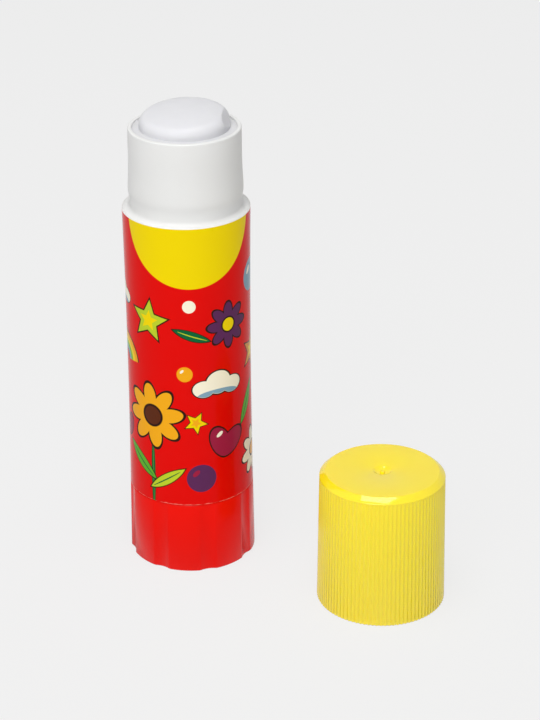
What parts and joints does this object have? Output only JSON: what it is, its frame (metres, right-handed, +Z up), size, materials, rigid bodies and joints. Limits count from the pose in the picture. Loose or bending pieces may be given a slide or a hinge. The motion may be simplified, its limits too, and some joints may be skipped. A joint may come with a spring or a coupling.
{
  "type": "glue stick",
  "caption": "Twist-up glue stick: a lobed base knob turns a screw that raises the glue out of a white collar. Its ribbed cap stands beside it.",
  "frame": {"origin": "centre of the knob's flat underside, on the surface that the stick stands on", "axes": "+Z up along the stick's axis, -Y to the front of the label; the cap stands on the same surface towards +X and -Y"},
  "size_m": [0.0666, 0.0496, 0.0997],
  "materials": {
    "white_plastic": "smooth moulded polypropylene, slightly translucent",
    "label_film": "glossy printed film",
    "red_plastic": "smooth moulded polypropylene",
    "screw_plastic": "moulded polyethylene",
    "carrier_plastic": "moulded polyethylene",
    "glue": "waxy white solid glue",
    "yellow_plastic": "satin moulded polypropylene",
    "seal_plastic": "soft moulded polyethylene"
  },
  "bodies": {
    "barrel": {"barrel": "white_plastic", "label": "label_film"},
    "knob": {"twist_knob": "red_plastic", "spindle": "screw_plastic"},
    "carrier": {"carrier": "carrier_plastic", "glue_core": "glue"},
    "cap": {"cap_shell": "yellow_plastic", "cap_seal": "seal_plastic"}
  },
  "joints": [
    {"name": "knob_turn", "type": "hinge", "parent": "barrel", "child": "knob", "pos_m": [0, 0, 0], "axis": [0, 0, 1], "range_deg": [-585, 4680]},
    {"name": "carrier_travel", "type": "slide", "parent": "barrel", "child": "carrier", "axis": [0, 0, 1], "range_m": [-0.0065, 0.052]},
    {"name": "cap_lift", "type": "slide", "parent": "barrel", "child": "cap", "axis": [0, 0, 1], "range_m": [0, 0.12]}
  ],
  "couplings": [
    {"joint": "carrier_travel", "follows": "knob_turn", "m_per_rad": 0.00063662}
  ]
}
